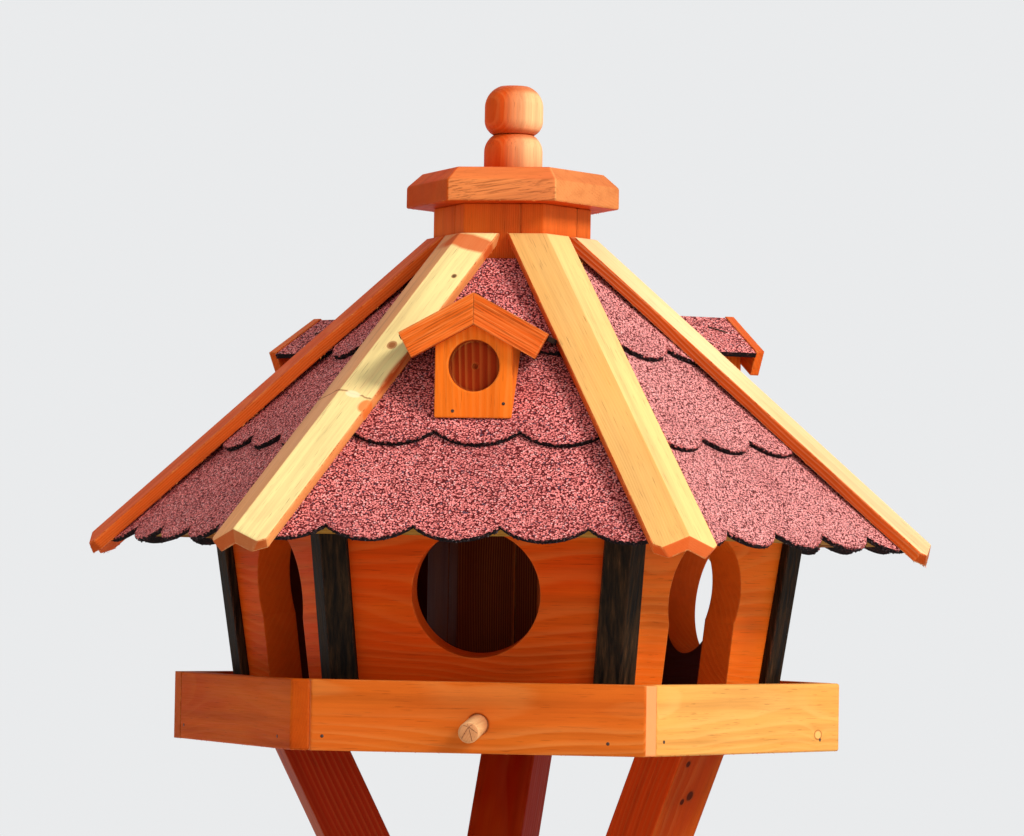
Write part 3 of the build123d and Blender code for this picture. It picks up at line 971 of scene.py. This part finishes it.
def make_nails():
    """Nail heads, driven level with the wood: two in each rim board, two in each dormer.

    Their places are how far they lie sideways, and how far above the foot of the piece.
    """
    radius = 0.001
    sunk = 0.0004
    proud = 0.0002
    head = [(0.0, -sunk), (radius, -sunk), (radius, proud / 2), (radius * 0.6, proud), (0.0, proud)]
    pieces = [(f"rim_{name}", name, ((-0.084, 0.0084), (0.081, 0.0072))) for name in FACES]
    pieces += [(f"dormer_{name}", name, ((-0.0154, 0.0045), (0.0143, 0.009))) for name in DORMERS]
    shape = bmesh.new()
    for node, name, places in pieces:
        out = radial(FACES[name])
        front = outermost(node, out)
        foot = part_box(node)[0][2]
        for sideways, height in places:
            spot = out * front + UP.cross(out) * sideways + UP * (foot + height)
            lathe(shape, head, 12, spot, out)
    piece("nails", shape, steel("nail_steel"), "feeder")


# An edge is sharp where its two faces turn by more than the angle of this cosine
SHARP = 0.6


def sharp_edges(name):
    """The sharp edges of a CAD node: both ends, and the normals of the two faces that meet."""
    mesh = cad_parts[name].data
    found = {}
    for polygon in mesh.polygons:
        points = [mesh.vertices[index].co.copy() for index in polygon.vertices]
        for first, second in zip(points, points[1:] + points[:1]):
            ends = frozenset(tuple(round(value * 1e5) for value in end) for end in (first, second))
            found.setdefault(ends, []).append((first, second, polygon.normal.copy()))
    edges = []
    for sides in found.values():
        if len(sides) == 2 and sides[0][2].dot(sides[1][2]) < SHARP:
            edges.append((*sides[0], sides[1][2]))
    return edges


def torn_edges():
    """The lower edges of the felt: both ends, and the normals of the top and of the cut face."""
    for name in ("shingles_eave", "shingles_middle", "shingles_top"):
        for start, end, one, other in sharp_edges(name):
            top, cut = (one, other) if one.z > other.z else (other, one)
            outward = Vector((start.x, start.y, 0)).normalized()
            looks_up = top.z > 0.6
            upright = cut.z < 0.3
            looks_out = cut.dot(outward) > 0.2
            if looks_up and upright and looks_out:
                yield start, end, top, cut


def chip(shape, middle, size, stretch, dice):
    """An irregular crumb with eight faces, longer along stretch."""
    corners = []
    for direction in (Vector((1, 0, 0)), Vector((0, 1, 0)), UP):
        for sign in (1, -1):
            reach = direction * sign + stretch * direction.dot(stretch) * sign * 0.8
            corners.append(shape.verts.new(middle + reach * size * dice.uniform(0.5, 1.0)))
    for x in (0, 1):
        for y in (2, 3):
            for z in (4, 5):
                shape.faces.new((corners[x], corners[y], corners[z]))


def strew(shape, start, end, spacing, shifts, sizes, dice):
    """Chips along an edge, each moved by shifts: a direction, and how far at least and at most."""
    run = end - start
    for _ in range(max(1, round(run.length / spacing))):
        spot = start + run * dice.random()
        for direction, least, most in shifts:
            spot += direction * dice.uniform(least, most)
        chip(shape, spot, dice.uniform(*sizes), run.normalized(), dice)


def make_felt_edges():
    """Crumbs of bitumen and granules along the torn lower edges of the felt."""
    dice = random.Random(4)
    crumbs = bmesh.new()
    grit = bmesh.new()
    for start, end, top, cut in torn_edges():
        shifts = ((-top, 0.0002, 0.0028), (cut, -0.0004, 0.0005))
        strew(crumbs, start, end, 0.0007, shifts, (0.0004, 0.0009), dice)
        shifts = ((cut, -0.0012, 0.0003), (-top, -0.0001, 0.0008))
        strew(grit, start, end, 0.0009, shifts, (0.0005, 0.001), dice)
    tones = ((0.5, (24, 16, 17)), (0.6, (52, 38, 40)), (0.7, (112, 98, 100)))
    piece("felt_crumbs", crumbs, specks("felt_crumbs", 700, tones), "feeder")
    tones = ((0.38, (90, 34, 36)), (0.5, (176, 84, 82)), (0.64, (226, 132, 126)))
    piece("felt_grit", grit, specks("felt_grit", 600, tones), "feeder")


def sliver(shape, foot, tip, thickness):
    """A thin splinter with three sides."""
    axis = (tip - foot).normalized()
    across = axis.orthogonal() * thickness
    around = axis.cross(across)
    base = [shape.verts.new(foot + offset) for offset in (across, around, -across - around)]
    point = shape.verts.new(tip)
    shape.faces.new(base)
    for first, second in zip(base, base[1:] + base[:1]):
        shape.faces.new((first, second, point))


def sawn_edges():
    """The edges where the saw has lifted slivers: both ends, the way out, the rounding and the body.

    They are the lower edges of the cap and the rims, and the long edges of the battens. A row of
    pieces is a name, its body, the direction that a face at the edge looks along, how nearly it
    does, and how far the edge is rounded.
    """
    pieces = [("lid_cap", "lid", UP, 0.9, 0.0005)]
    pieces += [(f"rim_{name}", "feeder", UP, 0.9, 0.0007) for name in FACES]
    for name, azimuth in CORNERS.items():
        pieces.append((f"hip_batten_{name}", "feeder", UP.cross(radial(azimuth)), 0.6, 0.0005))
    for name, body, direction, least, rounding in pieces:
        batten = name.startswith("hip_batten")
        for start, end, one, other in sharp_edges(name):
            looks_along = max(abs(one.dot(direction)), abs(other.dot(direction))) >= least
            lower = batten or min(one.z, other.z) <= -0.9
            level = abs((end - start).normalized().z) <= 0.75
            if looks_along and lower and level:
                yield start, end, (one + other).normalized(), rounding, body


def make_splinters():
    """Slivers along the sawn edges."""
    dice = random.Random(7)
    shapes = {"feeder": bmesh.new(), "lid": bmesh.new()}
    spacing = 0.004
    for start, end, out, rounding, body in sawn_edges():
        run = (end - start).normalized()
        for _ in range(round((end - start).length / spacing)):
            foot = start.lerp(end, dice.random()) - out * rounding
            lift = out * dice.uniform(0.2, 0.8) + run * dice.choice((-1, 1))
            tip = foot + lift.normalized() * dice.uniform(0.001, 0.0024)
            sliver(shapes[body], foot, tip, dice.uniform(0.0001, 0.0002))
    tones = ((0.4, (170, 60, 14)), (0.55, (214, 100, 34)), (0.68, (246, 160, 84)))
    material = specks("splinters", 160, tones, contrast=0.5, roughness=0.7, gloss=0.1)
    piece("splinters", shapes["feeder"], material, "feeder")
    piece("cap_splinters", shapes["lid"], material, "lid")


def make_staples():
    """A staple across the felt of each back dormer, from one end to the other."""
    staples = (
        ((0.1182, 0.0522, 1.1455), (0.1298, 0.0518, 1.1421)),
        ((-0.1182, 0.0522, 1.1421), (-0.1298, 0.0518, 1.1387)),
    )
    wire = 0.0004
    sunk = 0.0015
    proud = 0.0002
    leg = [(0.0, -sunk), (wire, -sunk), (wire, proud), (0.0, proud)]
    shape = bmesh.new()
    for ends in staples:
        start, end = (Vector(place) for place in ends)
        run = end - start
        back = [(0.0, 0.0), (wire, 0.0), (wire, run.length), (0.0, run.length)]
        lathe(shape, back, 8, start, run.normalized())
        for corner in (start, end):
            lathe(shape, leg, 8, corner, UP)
    piece("staples", shape, steel("staple_steel"), "feeder")


def place_camera():
    """The photo's viewpoint: level with the walls, a little to the right of the front."""
    right_of_front = 6.756
    distance = 2.7
    height = 0.972
    aim_aside = 0.00193
    aim_height = 1.085
    roll = math.radians(0.96)
    focal_length_in_pixels = 4400.8
    photo_width_in_pixels = 1024
    sensor_width = 36

    position = radial(FACES["front"] + right_of_front) * distance + UP * height
    target = radial(right_of_front) * aim_aside + UP * aim_height
    forward = (target - position).normalized()
    side = forward.cross(UP).normalized()
    upward = side.cross(forward)
    rolled_side = side * math.cos(roll) + upward * math.sin(roll)
    rolled_upward = upward * math.cos(roll) - side * math.sin(roll)
    camera = bpy.data.objects.new("camera", bpy.data.cameras.new("camera"))
    matrix = Matrix((rolled_side, rolled_upward, -forward)).transposed().to_4x4()
    matrix.translation = position
    camera.matrix_world = matrix
    camera.data.lens = focal_length_in_pixels / photo_width_in_pixels * sensor_width
    camera.data.sensor_width = sensor_width
    camera.data.clip_end = 60
    bpy.context.scene.collection.objects.link(camera)
    bpy.context.scene.camera = camera


def lamp(name, azimuth, elevation, distance, size, power, colour):
    """A soft square lamp that looks at the house."""
    house_height = 1.05
    rise = math.radians(elevation)
    away = radial(azimuth) * math.cos(rise) + UP * math.sin(rise)
    light = bpy.data.lights.new(name, "AREA")
    light.size = size
    light.energy = power
    light.color = colour
    made = bpy.data.objects.new(name, light)
    made.matrix_world = away.to_track_quat("Z", "Y").to_matrix().to_4x4()
    made.matrix_world.translation = UP * house_height + away * distance
    bpy.context.scene.collection.objects.link(made)


def light_world():
    """Even light from all round, and a pale backdrop that only the camera sees."""
    world = bpy.data.worlds.new("world")
    bpy.context.scene.world = world
    world.use_nodes = True
    nodes = world.node_tree.nodes
    light = nodes["Background"]
    light.inputs[0].default_value = (0.88, 0.88, 0.88, 1)
    light.inputs[1].default_value = 0.46
    seen = nodes.new("ShaderNodeBackground")
    seen.inputs[0].default_value = (0.82, 0.83, 0.84, 1)
    ray = nodes.new("ShaderNodeLightPath")
    both = nodes.new("ShaderNodeMixShader")
    links = world.node_tree.links
    links.new(ray.outputs["Is Camera Ray"], both.inputs[0])
    links.new(light.outputs[0], both.inputs[1])
    links.new(seen.outputs[0], both.inputs[2])
    links.new(both.outputs[0], nodes["World Output"].inputs[0])


def floor_material():
    """Pale near the stand, and fading into an even glow further out."""
    tree = Tree("floor")
    far = tree.span(tree.vector("LENGTH", tree.position()), 1.0, 4.0)
    diffuse = tree.node("BsdfDiffuse")
    tree.feed(diffuse.inputs[0], (0.74, 0.74, 0.74, 1))
    glow = tree.node("Emission")
    tree.feed(glow.inputs[0], (0.86, 0.87, 0.88, 1))
    shading = tree.node("MixShader")
    for socket, value in zip(shading.inputs, (far, diffuse.outputs[0], glow.outputs[0])):
        tree.feed(socket, value)
    tree.feed(tree.output.inputs["Surface"], shading.outputs[0])
    return tree.material


def lay_floor():
    mesh = bpy.data.meshes.new("floor")
    shape = bmesh.new()
    bmesh.ops.create_circle(shape, cap_ends=True, segments=96, radius=14)
    shape.to_mesh(mesh)
    shape.free()
    mesh.materials.append(floor_material())
    floor = bpy.data.objects.new("floor", mesh)
    bpy.context.scene.collection.objects.link(floor)
    floor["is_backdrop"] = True


paint_tray()
paint_house()
paint_roof()
paint_battens()
paint_silo()
paint_lid()
paint_dormers()
paint_stand()

make_knob()
make_dowels()
make_nails()
make_felt_edges()
make_splinters()
make_staples()

place_camera()
light_world()
lay_floor()
# Each lamp's azimuth and elevation, its distance and size, and its power and colour
lamp("key", -30, 37, 3.2, 0.9, 98, (1.0, 0.96, 0.9))
lamp("low", -62, 8, 3.6, 1.6, 16, (1.0, 0.98, 0.95))
lamp("fill", -140, 25, 3.6, 2.4, 13, (1.0, 1.0, 1.0))
lamp("back", 100, 50, 3.6, 2.0, 30, (1.0, 0.98, 0.95))
bpy.context.scene.view_settings.view_transform = "Standard"


def corners(box):
    return [list(map(float, corner)) for corner in box]


{"cad": corners(cad_box), "visual": corners(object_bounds())}
